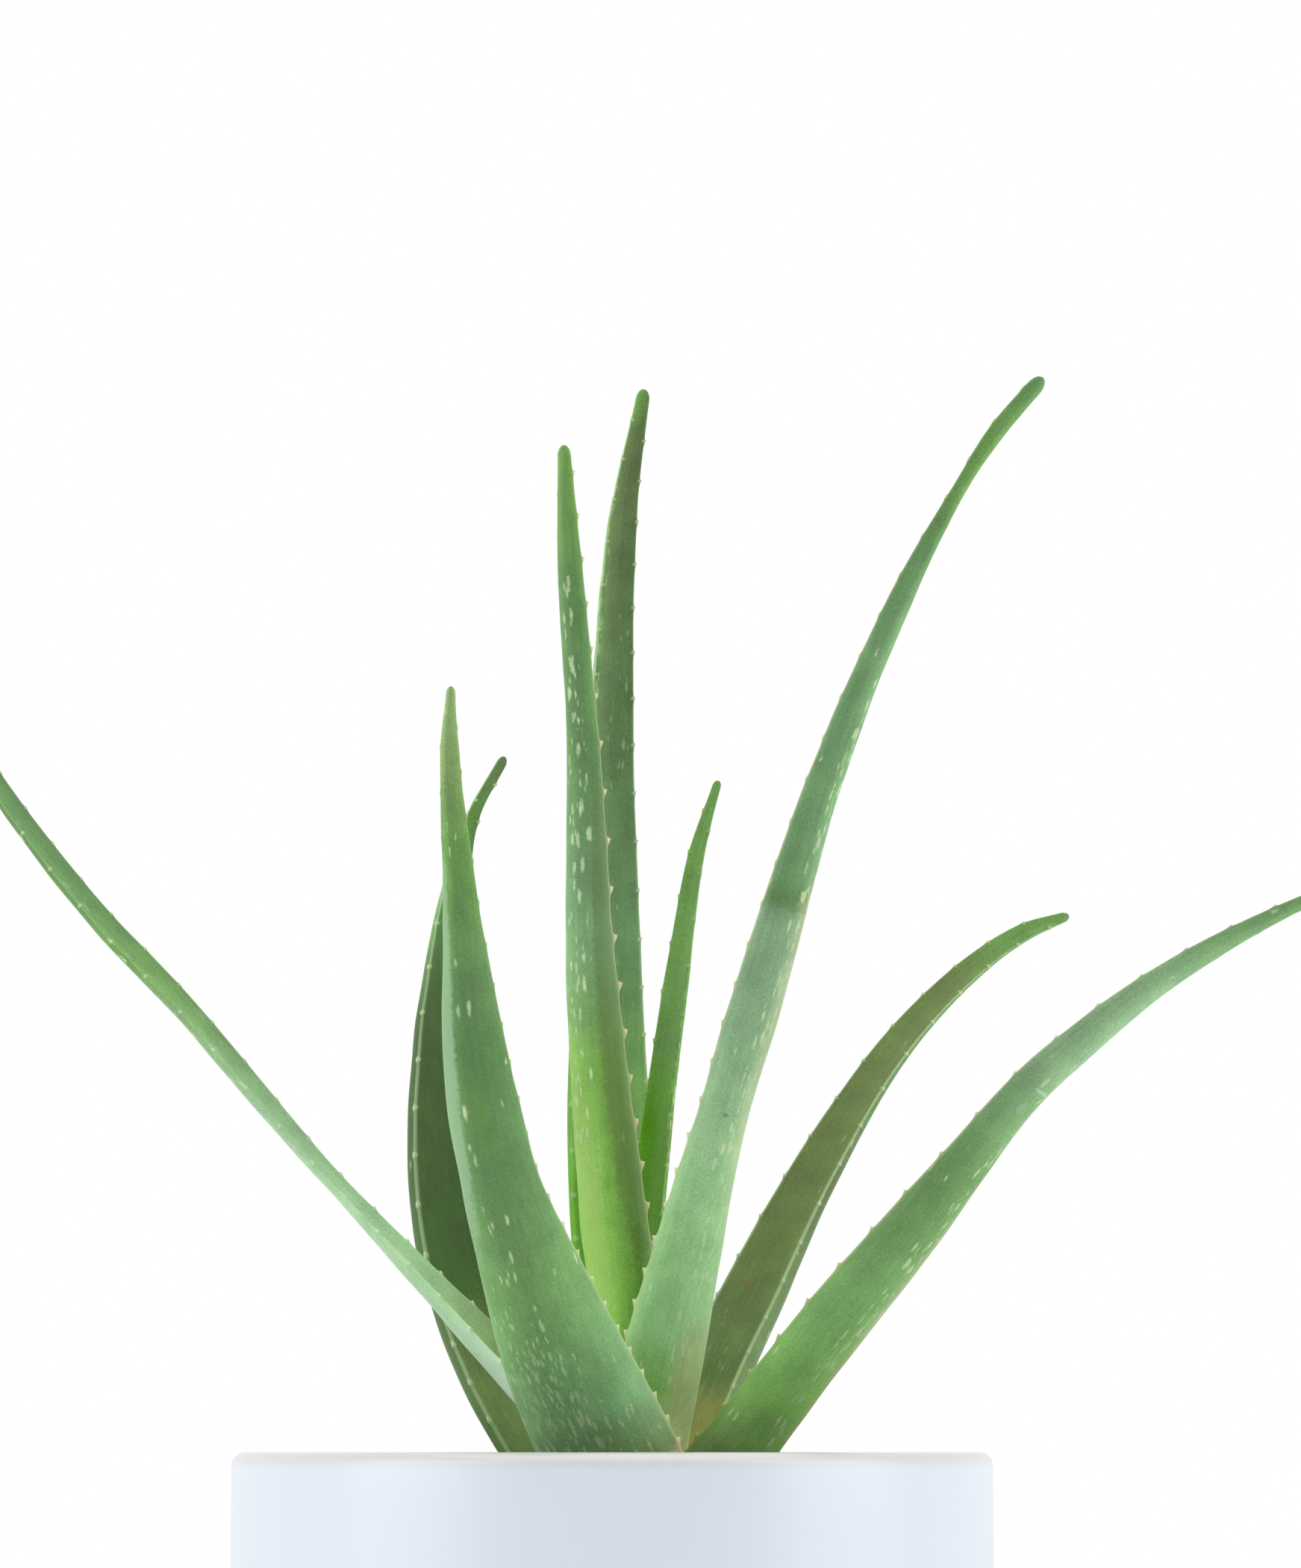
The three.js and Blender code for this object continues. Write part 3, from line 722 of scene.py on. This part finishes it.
def away(k, share, side, centre, reach):
    """Square of the distance from a place on a leaf, which is 1 at the reach along or across."""
    lengthwise = k.math("DIVIDE", k.math("SUBTRACT", share, centre[0]), reach[0])
    crosswise = k.math("DIVIDE", k.math("SUBTRACT", side, centre[1]), reach[1])
    return k.math("MULTIPLY_ADD", lengthwise, lengthwise, k.math("MULTIPLY", crosswise, crosswise))


def fleck_map(k, look, share, side):
    """How likely a fleck is at each place."""
    likely = FEW
    for along_at, across_at, along_reach, across_reach, many in look.get("flecks", ()):
        square = away(k, share, side, (along_at, across_at), (along_reach, across_reach))
        likely = k.math("MAXIMUM", likely, k.spread(square, *FLECKS_END, 0.0, many))
    return likely


def fleck_set(k, lap, size, likely, seed):
    """Pale flecks drawn out along the leaf; size is the room for one, across and along."""
    place = k.vector_math("DIVIDE", lap, (*size, 1.0))
    place = k.vector_math("ADD", place, (seed, seed * 1.7, 0.0))
    distance, (lot, size_lot, strength_lot) = k.cells(place, 1.0, "2D")
    smallest, more = FLECK_REACH
    reach = k.math("MULTIPLY_ADD", size_lot, more, smallest)
    inside = k.math("SUBTRACT", reach, distance)
    strength = k.math("MULTIPLY_ADD", strength_lot, 0.5, 0.5)
    shown = k.math("MULTIPLY", k.math("LESS_THAN", lot, likely), strength)
    return k.math("MULTIPLY", k.spread(inside, *FLECK_EDGE), shown)


def flecks(k, look, share, side, inner, grown):
    """How plain a fleck is at each place."""
    likely = fleck_map(k, look, share, side)
    wobble = k.vector_math("MULTIPLY", k.noise(grown, 1.1, 2, output="Color"), FLECK_WOBBLE)
    lap = k.vector_math("ADD", k.attribute("lap", "Vector"), wobble)
    spots = 0.0
    for size, share_shown, seed in FLECK_SETS:
        found = fleck_set(k, lap, size, k.math("MULTIPLY", likely, share_shown), seed)
        spots = k.math("MAXIMUM", spots, found)
    return k.math("MULTIPLY", spots, k.spread(inner, 0.6, 0.4, INNER_FLECKS, 1.0))


def stops(text):
    """Hues and their places from 0 to 1, from a text such as "leafy 0, straw 100"."""
    pairs = (part.split() for part in text.split(","))
    return [(float(place) / 100, HUES[hue]) for hue, place in pairs]


def painted_shading(k, side, values):
    """Painted light and shade across a leaf, from values spaced evenly over its sides."""
    places = np.linspace(0, 1, len(values))
    return k.ramp(k.math("MULTIPLY_ADD", side, 0.5, 0.5), list(zip(places, values)))


def base_colour(k, look, share, side, inner, grown):
    """The hues from foot to tip, which run into each other unevenly, and painted light and shade
    across.
    """
    drift = k.math("MULTIPLY_ADD", k.noise(grown, DRIFT_SCALE, 3), DRIFT, -DRIFT / 2)
    reached = k.math("ADD", share, drift)
    outer_hue = k.ramp(reached, stops(look["outer"]))
    inner_hue = k.ramp(reached, stops(look["inner"]))
    colour = k.mix(inner, outer_hue, inner_hue)
    foot = painted_shading(k, side, look["foot_shading_painted"])
    tip = painted_shading(k, side, look["tip_shading_painted"])
    # Painted light and shade across the leaf, laid over the hues.
    colour = k.mix(1.0, colour, k.mix(k.spread(share, *PAINTED_SHADING_MEETS), foot, tip), "OVERLAY")
    # The foot is lighter: partly its own paler skin, partly painted light over the shade in the
    # heart of the rosette.
    return k.vector_math("MULTIPLY", colour, k.spread(share, *PALE_AND_LIT_FOOT, look["paler_and_lit_foot"], 1.0))


def mottled(k, colour, pattern, amount, contrast):
    """A colour made lighter and darker by a pattern."""
    low, high = MIDDLE
    shades = k.ramp(pattern, ((low, 0.5 - contrast), (high, 0.5 + contrast)))
    return k.mix(amount, colour, shades, "OVERLAY")


def add_marks(k, colour, node, share, side, grown):
    """Scars, spots and bands of other hues, some of them painted light and shade, with ragged
    outlines.
    """
    ragged = k.noise(grown, 1.1, 3, 0.6)
    ragged = k.math("MULTIPLY_ADD", ragged, PATCH_RAGGED, -PATCH_RAGGED / 2)
    length, width = leaf_sizes(node)
    for along_at, across_at, half_length, half_width, hue, strength in LOOKS[node].get("marks", ()):
        reach = (half_length / length, half_width / (width / 2))
        square = away(k, share, side, (along_at, across_at), reach)
        inside = k.spread(k.math("ADD", square, ragged), *PATCH_EDGE)
        colour = k.mix(k.math("MULTIPLY", inside, strength), colour, HUES[hue])
    return colour


def add_margin(k, colour, look, share, inner):
    """The thin horny line along a margin, and the teeth with their brown points."""
    rim, tooth = k.attribute("rim"), k.attribute("tooth")
    plain, reach = look["edge"]
    line, horn, points = look.get("horn", PLAIN_HORN)
    rim = k.math("MULTIPLY", rim, k.spread(inner, *TO_INNER, 1.0, max(1.0, reach / INNER_EDGE)))
    plain = k.spread(share, *LINE_FADES, plain, LINE_AT_TIP * plain)
    colour = k.mix(k.spread(rim, reach, LINE_CORE * reach, 0.0, plain), colour, HUES[line])
    colour = k.mix(k.spread(tooth, *TOOTH_HUE, 0.0, look["thorns"]), colour, HUES[horn])
    return k.mix(k.spread(tooth, *POINT_HUE, 0.0, points), colour, HUES["brown"])


def leaf_skin(node):
    look = LOOKS[node]
    k = Skin("skin_" + node.removeprefix("leaf_"))
    share, side, inner = k.attribute("share"), k.attribute("side"), k.attribute("inner")
    grown = k.attribute("grown", "Vector")
    colour = base_colour(k, look, share, side, inner, grown)

    # Fine veins run lengthwise under the skin, soft blotches lie across them, and it is grainy.
    veins = k.noise(k.vector_math("MULTIPLY", grown, VEIN_STRETCH), VEIN_SCALE, 3, 0.6)
    blotches = k.noise(grown, BLOTCH_SCALE, 3, 0.55)
    grain = k.noise(grown, GRAIN_SCALE, 3, 0.75)
    colour = mottled(k, colour, veins, *VEIN_DEPTH)
    colour = mottled(k, colour, blotches, *BLOTCH_DEPTH)
    colour = mottled(k, colour, grain, *GRAIN_DEPTH)

    spots = flecks(k, look, share, side, inner, grown)
    colour = k.mix(k.math("MULTIPLY", spots, FLECK_STRENGTH), colour, HUES["fleck"])
    colour = add_marks(k, colour, node, share, side, grown)
    colour = add_margin(k, colour, look, share, inner)

    relief = k.math("ADD", k.math("MULTIPLY", veins, 0.6), k.math("MULTIPLY", grain, 0.35))
    relief = k.math("MULTIPLY_ADD", spots, 0.25, relief)
    return k.finish(
        Base_Color=colour,
        Roughness=k.spread(blotches, *MIDDLE, 0.42, 0.54),
        Normal=k.bump(relief, 0.18 * MM, 0.55),
        Subsurface_Weight=0.08,
        Subsurface_Scale=2 * MM,
        Subsurface_Radius=(0.5, 1.0, 0.3),
        Specular_IOR_Level=0.28,
    )


# The other surfaces. Scales are per metre.
# Heights in millimetres between which the pot's thin-glazed lip and its bare foot set in.
LIP_FADE, BARE_FOOT = (146.2, 149.0), (1.6, 0.9)
SPECK_SCALE, SPECK_SHARE, SPECK_EDGE = 95.0, 0.02, (0.07, 0.03)
GLAZE_HUES = srgb(205, 213, 220), srgb(208, 211, 221)
SPECK_HUE, LIP_HUE, BISCUIT_HUE = srgb(120, 112, 100), srgb(197, 192, 186), srgb(214, 203, 184)
EARTH_HUES = (0.28, srgb(38, 27, 20)), (0.5, srgb(66, 48, 35)), (0.72, srgb(98, 74, 52))
PERLITE_HUES = (0.3, srgb(176, 170, 158)), (0.7, srgb(228, 225, 216))
BARK_HUES = (0.3, srgb(104, 92, 58)), (0.55, srgb(142, 134, 88)), (0.75, srgb(168, 158, 116))
BARK_STRETCH = (60.0, 60.0, 420.0)
FLOOR_HUES = srgb(243, 243, 243), srgb(248, 248, 248)


def pot_glaze():
    k = Skin("white_glaze")
    place = k.place()
    height = k.part(place, "Z")
    colour = k.mix(k.noise(place, 9.0, 3), *GLAZE_HUES)
    distance, lots = k.cells(place, SPECK_SCALE)
    rare = k.math("LESS_THAN", lots[0], SPECK_SHARE)
    dots = k.math("MULTIPLY", k.spread(distance, *SPECK_EDGE), rare)
    colour = k.mix(k.math("MULTIPLY", dots, 0.5), colour, SPECK_HUE)
    lip = k.spread(height, *(z * MM for z in LIP_FADE))
    colour = k.mix(k.math("MULTIPLY", lip, 0.8), colour, LIP_HUE)
    bare = k.spread(height, *(z * MM for z in BARE_FOOT))
    colour = k.mix(bare, colour, BISCUIT_HUE)
    return k.finish(
        Base_Color=colour,
        Roughness=k.math("MULTIPLY_ADD", bare, 0.45, 0.32),
        Normal=k.bump(k.noise(place, 260.0, 2), 0.06 * MM, 0.25),
        Specular_IOR_Level=0.6,
        Coat_Weight=0.6,
        Coat_Roughness=0.3,
    )


def earth():
    k = Skin("potting_earth")
    place = k.place()
    tone = k.noise(place, 420.0, 4, 0.65)
    return k.finish(
        Base_Color=k.ramp(tone, EARTH_HUES),
        Roughness=k.spread(tone, *MIDDLE, 0.85, 0.97),
        Normal=k.bump(k.noise(place, 900.0, 3), 0.4 * MM, 0.7),
        Specular_IOR_Level=0.25,
    )


def perlite():
    k = Skin("perlite")
    place = k.place()
    tone = k.noise(place, 700.0, 3, 0.6)
    return k.finish(
        Base_Color=k.ramp(tone, PERLITE_HUES),
        Roughness=k.spread(tone, *MIDDLE, 0.8, 0.95),
        Normal=k.bump(k.cells(place, 1500.0)[0], 0.3 * MM, 0.8),
    )


def bark():
    k = Skin("stem_bark")
    rings = k.noise(k.vector_math("MULTIPLY", k.place(), BARK_STRETCH), 1.0, 3, 0.6)
    return k.finish(
        Base_Color=k.ramp(rings, BARK_HUES),
        Roughness=k.spread(rings, *MIDDLE, 0.6, 0.8),
        Normal=k.bump(rings, 0.6 * MM, 0.7),
    )


def studio_floor():
    k = Skin("studio_floor")
    return k.finish(
        Base_Color=k.mix(k.noise(k.place(), 3.0, 3), *FLOOR_HUES),
        Roughness=0.75,
        Specular_IOR_Level=0.2,
    )


# -------------------- pot, stem and soil

POT_SIDES, STEM_SIDES = 192, 48
POT_ARCS = dict(foot=10, lip=20, floor=6)  # steps round each rounded edge
FOOT_RIM = 3.0  # flat part of the pot's underside beside its rounded edge
STEM_STEP = 0.8  # height from one ring of points to the next
SCAR_DEPTH, SCAR_PACE = 0.25, 1.3  # of the rings that fallen leaves leave on the stem
SCARS_FROM = 100.0  # height
SOIL_SECTORS, SOIL_RINGS = 200, 84
SOIL_ROUGH = ((0.7, 0.35, 3.1), (0.35, 1.3, 9.7))  # height, how close together, seed
LUMPS_CLEAR = 3.5  # how far the loose lumps keep from the pot's wall
LUMP_STRETCH = ((0.7, 1.6), (0.7, 1.1))  # of a lump, along its two level axes
LUMP_KNOCKS, KNOCK_PACE, KNOCK_ROOM = 0.55, 1.9, 90  # depth of its dents, pace of their noise
LUMP_LEAN = 0.5  # at most, in radians
LUMP_SITS = 0.15  # height of a lump's middle over the soil, as a share of its size
SMALL_ONES = 2.5  # above 1 most of the lumps are small


def arc(x, y, radius, start, end, steps):
    """Points of a round part of a profile; the angles are in degrees."""
    angle = np.radians(np.linspace(start, end, steps + 1))
    return [(x + radius * math.cos(a), y + radius * math.sin(a)) for a in angle]


def turned(name, profile, around):
    """A closed solid of revolution about Z. The profile starts and ends on the axis."""
    inside = np.array(profile[1:-1], float)
    angle = 2 * math.pi * np.arange(around) / around
    radius, height = inside[:, :1], inside[:, 1:]
    level = np.broadcast_to(height, (len(inside), around))
    rings = np.stack([radius * np.cos(angle), radius * np.sin(angle), level], -1)
    points = np.vstack([rings.reshape(-1, 3), (0, 0, profile[0][1]), (0, 0, profile[-1][1])])
    return closed_skin(name, points, len(inside), around)


def build_pot():
    radius, height, wall, floor, lip, foot = POT.values()
    inside = radius - wall
    profile = [(0, 0), (radius * 0.5, 0), (radius - foot - FOOT_RIM, 0)]
    profile += arc(radius - foot, foot, foot, -90, 0, POT_ARCS["foot"])
    profile += [(radius, z) for z in np.linspace(foot, height - lip, 16)[1:-1]]
    profile += arc(radius - lip, height - lip, lip, 0, 180, POT_ARCS["lip"])
    profile += [(inside, z) for z in np.linspace(height - lip, floor + foot, 12)[1:-1]]
    profile += arc(inside - foot, floor + foot, foot, 0, -90, POT_ARCS["floor"])
    profile += [(inside * 0.5, floor), (0, floor)]
    return turned("glazed_pot", profile, POT_SIDES)


def build_stem():
    heights, radii = zip(*STEM_PROFILE)
    levels = np.arange(heights[0], heights[-1] + 0.01, STEM_STEP)
    radius = np.interp(levels, heights, radii)
    scars = SCAR_DEPTH * np.sin(levels * SCAR_PACE) * np.clip((levels - SCARS_FROM) / 10, 0, 1)
    profile = [(0, heights[0]), *zip(radius + scars * (radius > 2), levels), (0, heights[-1])]
    stem = turned("stem_with_leaf_scars", profile, STEM_SIDES)
    for vertex in stem.data.vertices:
        vertex.co.x += STEM_X * MM
    return stem


def soil_height(x, y):
    swell = sum(h * math.sin(2 * math.pi * (wx * x + wy * y)) for h, wx, wy in SOIL_SWELLS)
    rough = (h * noise.noise(Vector((x * near, y * near, seed))) for h, near, seed in SOIL_ROUGH)
    return SOIL_LEVEL + swell + sum(rough)


def build_soil():
    outer = POT["radius"] - POT["wall"] - GAP
    bottom = POT["floor"] + GAP
    angle = 2 * math.pi * np.arange(SOIL_SECTORS) / SOIL_SECTORS
    points = []

    def circle(radius, height=None):
        for a in angle:
            x, y = radius * math.cos(a), radius * math.sin(a)
            points.append((x, y, soil_height(x, y) if height is None else height))

    circle(outer - POT["foot"], bottom)
    circle(outer, bottom + POT["foot"])
    for level in np.linspace(bottom + 20, SOIL_LEVEL - 6, 5):
        circle(outer, level)
    for ring in range(SOIL_RINGS, 0, -1):
        circle(outer * ring / SOIL_RINGS)
    rows = len(points) // SOIL_SECTORS
    points.append((0, 0, bottom))
    points.append((0, 0, soil_height(0, 0)))
    return closed_skin("potting_soil", points, rows, SOIL_SECTORS)


def ball():
    """Points and triangles of a small round lump to be knocked out of shape."""
    shape = bmesh.new()
    bmesh.ops.create_icosphere(shape, subdivisions=2, radius=1)
    points = np.array([v.co[:] for v in shape.verts])
    faces = np.array([[v.index for v in f.verts] for f in shape.faces])
    shape.free()
    return points, faces


def knocks(shape, draw):
    """How far each point of a lump stands out or in, from noise at a random place."""
    places = (Vector(p * KNOCK_PACE) + Vector(draw.uniform(0, KNOCK_ROOM, 3)) for p in shape)
    return 1 + LUMP_KNOCKS * np.array([noise.noise(place) for place in places])


def turn_matrix(spin, lean):
    """A lean about Y, and then a spin about Z."""
    c, s = math.cos(lean), math.sin(lean)
    about_y = np.array([[c, 0, s], [0, 1, 0], [-s, 0, c]])
    c, s = math.cos(spin), math.sin(spin)
    about_z = np.array([[c, -s, 0], [s, c, 0], [0, 0, 1]])
    return about_z @ about_y


def build_lumps(name, count, sizes, flatness, seed):
    """Loose lumps that lie on the soil, half sunk in."""
    draw = np.random.default_rng(seed)
    shape, faces = ball()
    reach = POT["radius"] - POT["wall"] - GAP - LUMPS_CLEAR
    points, triangles = [], []
    for _ in range(count):
        radius = reach * math.sqrt(draw.uniform(0, 1))
        turn = draw.uniform(0, 2 * math.pi)
        x, y = radius * math.cos(turn), radius * math.sin(turn)
        size = sizes[0] + (sizes[1] - sizes[0]) * draw.uniform(0, 1) ** SMALL_ONES
        stretch = size * np.array([draw.uniform(*limits) for limits in (*LUMP_STRETCH, flatness)])
        lump = shape * knocks(shape, draw)[:, None] * stretch
        spin, lean = draw.uniform(0, 2 * math.pi), draw.uniform(-LUMP_LEAN, LUMP_LEAN)
        lump = lump @ turn_matrix(spin, lean).T
        place = np.array([x, y, soil_height(x, y) + LUMP_SITS * size])
        triangles.append(faces + len(points) * len(shape))
        points.append(lump + place)
    return new_mesh(name, np.vstack(points), np.empty((0, 4), int), np.vstack(triangles))


def dress(piece, node, material):
    """Puts a piece in the place of a CAD node, or adds it beside them where node is None."""
    piece.data.materials.append(material)
    if node:
        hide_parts(node)
    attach(piece, "root")


for number, node in enumerate(LEAVES):
    dress(grow_leaf(node, number), node, leaf_skin(node))
dress(build_pot(), "pot", pot_glaze())
dress(build_stem(), "stem", bark())
dark_earth = earth()
dress(build_soil(), "soil", dark_earth)
crumbs = build_lumps("soil_crumbs", 1100, sizes=(0.5, 2.6), flatness=(0.4, 0.9), seed=CRUMB_SEED)
dress(crumbs, None, dark_earth)
grains = build_lumps("perlite_grains", 60, sizes=(0.8, 1.9), flatness=(0.7, 1), seed=PERLITE_SEED)
dress(grains, None, perlite())

# -------------------- floor, light and camera

FLOOR_RADIUS, FLOOR_SIDES = 5000.0, 128
LIT_POINT = (0.0, 0.0, 0.2)
# Place and size in metres, and power in watts.
SOFTBOXES = {
    "softbox_left": ((-1.85, -0.95, 1.0), (1.8, 2.0), 18),
    "softbox_right": ((2.0, -0.7, 1.0), (1.8, 2.0), 17),
    "softbox_top": ((0.1, -0.2, 2.2), (2.2, 2.0), 13),
}
SKY_HUE = (0.96, 0.98, 1.0, 1)
SKY_FADE, SKY_LIGHT = (-0.95, -0.35), (0.2, 1.0)  # along Y from behind the camera, and how bright
LENS, SENSOR = 120, 36
CAMERA_PLACE, CAMERA_TILT = (0.00827, -1.144, 0.150), 97.286


def build_floor():
    angle = 2 * math.pi * np.arange(FLOOR_SIDES) / FLOOR_SIDES
    rim = FLOOR_RADIUS * np.stack([np.cos(angle), np.sin(angle), np.zeros(FLOOR_SIDES)], 1)
    i = np.arange(FLOOR_SIDES)
    spokes = np.stack([i, (i + 1) % FLOOR_SIDES, np.full(FLOOR_SIDES, FLOOR_SIDES)], 1)
    floor = new_mesh("studio_floor", np.vstack([rim, (0, 0, 0)]), np.empty((0, 4), int), spokes)
    floor.data.materials.append(studio_floor())


def softbox(name, place, size, power):
    light = bpy.data.lights.new(name, "AREA")
    light.shape = "RECTANGLE"
    light.size, light.size_y = size
    light.energy = power
    lamp = link(bpy.data.objects.new(name, light))
    lamp.location = place
    aim = Vector(LIT_POINT) - Vector(place)
    lamp.rotation_euler = aim.to_track_quat("-Z", "Y").to_euler()


def white_studio():
    """White to the camera, and a soft light that is dimmer from behind the camera."""
    world = bpy.data.worlds.new("white_studio")
    bpy.context.scene.world = world
    world.use_nodes = True
    k = Nodes(world.node_tree)
    brightness = k.spread(k.part(k.place("Generated"), "Y"), *SKY_FADE, *SKY_LIGHT)
    glow = k.add("Background", dict(Color=SKY_HUE, Strength=brightness)).outputs[0]
    backdrop = k.add("Background", dict(Color=(1, 1, 1, 1))).outputs[0]
    seen = k.add("LightPath", {}).outputs["Is Camera Ray"]
    either = k.add("MixShader", {0: seen, 1: glow, 2: backdrop}).outputs[0]
    k.feed(k.tree.nodes["World Output"].inputs, dict(Surface=either))


def add_camera():
    lens = bpy.data.cameras.new("camera")
    lens.lens = LENS
    lens.sensor_width = SENSOR
    camera = link(bpy.data.objects.new("camera", lens))
    camera.location = CAMERA_PLACE
    camera.rotation_euler = (math.radians(CAMERA_TILT), 0, 0)
    bpy.context.scene.camera = camera


build_floor()
for name, (place, size, power) in SOFTBOXES.items():
    softbox(name, place, size, power)
white_studio()
add_camera()
bpy.context.scene.view_settings.view_transform = "Standard"
bpy.context.scene.view_settings.look = "None"
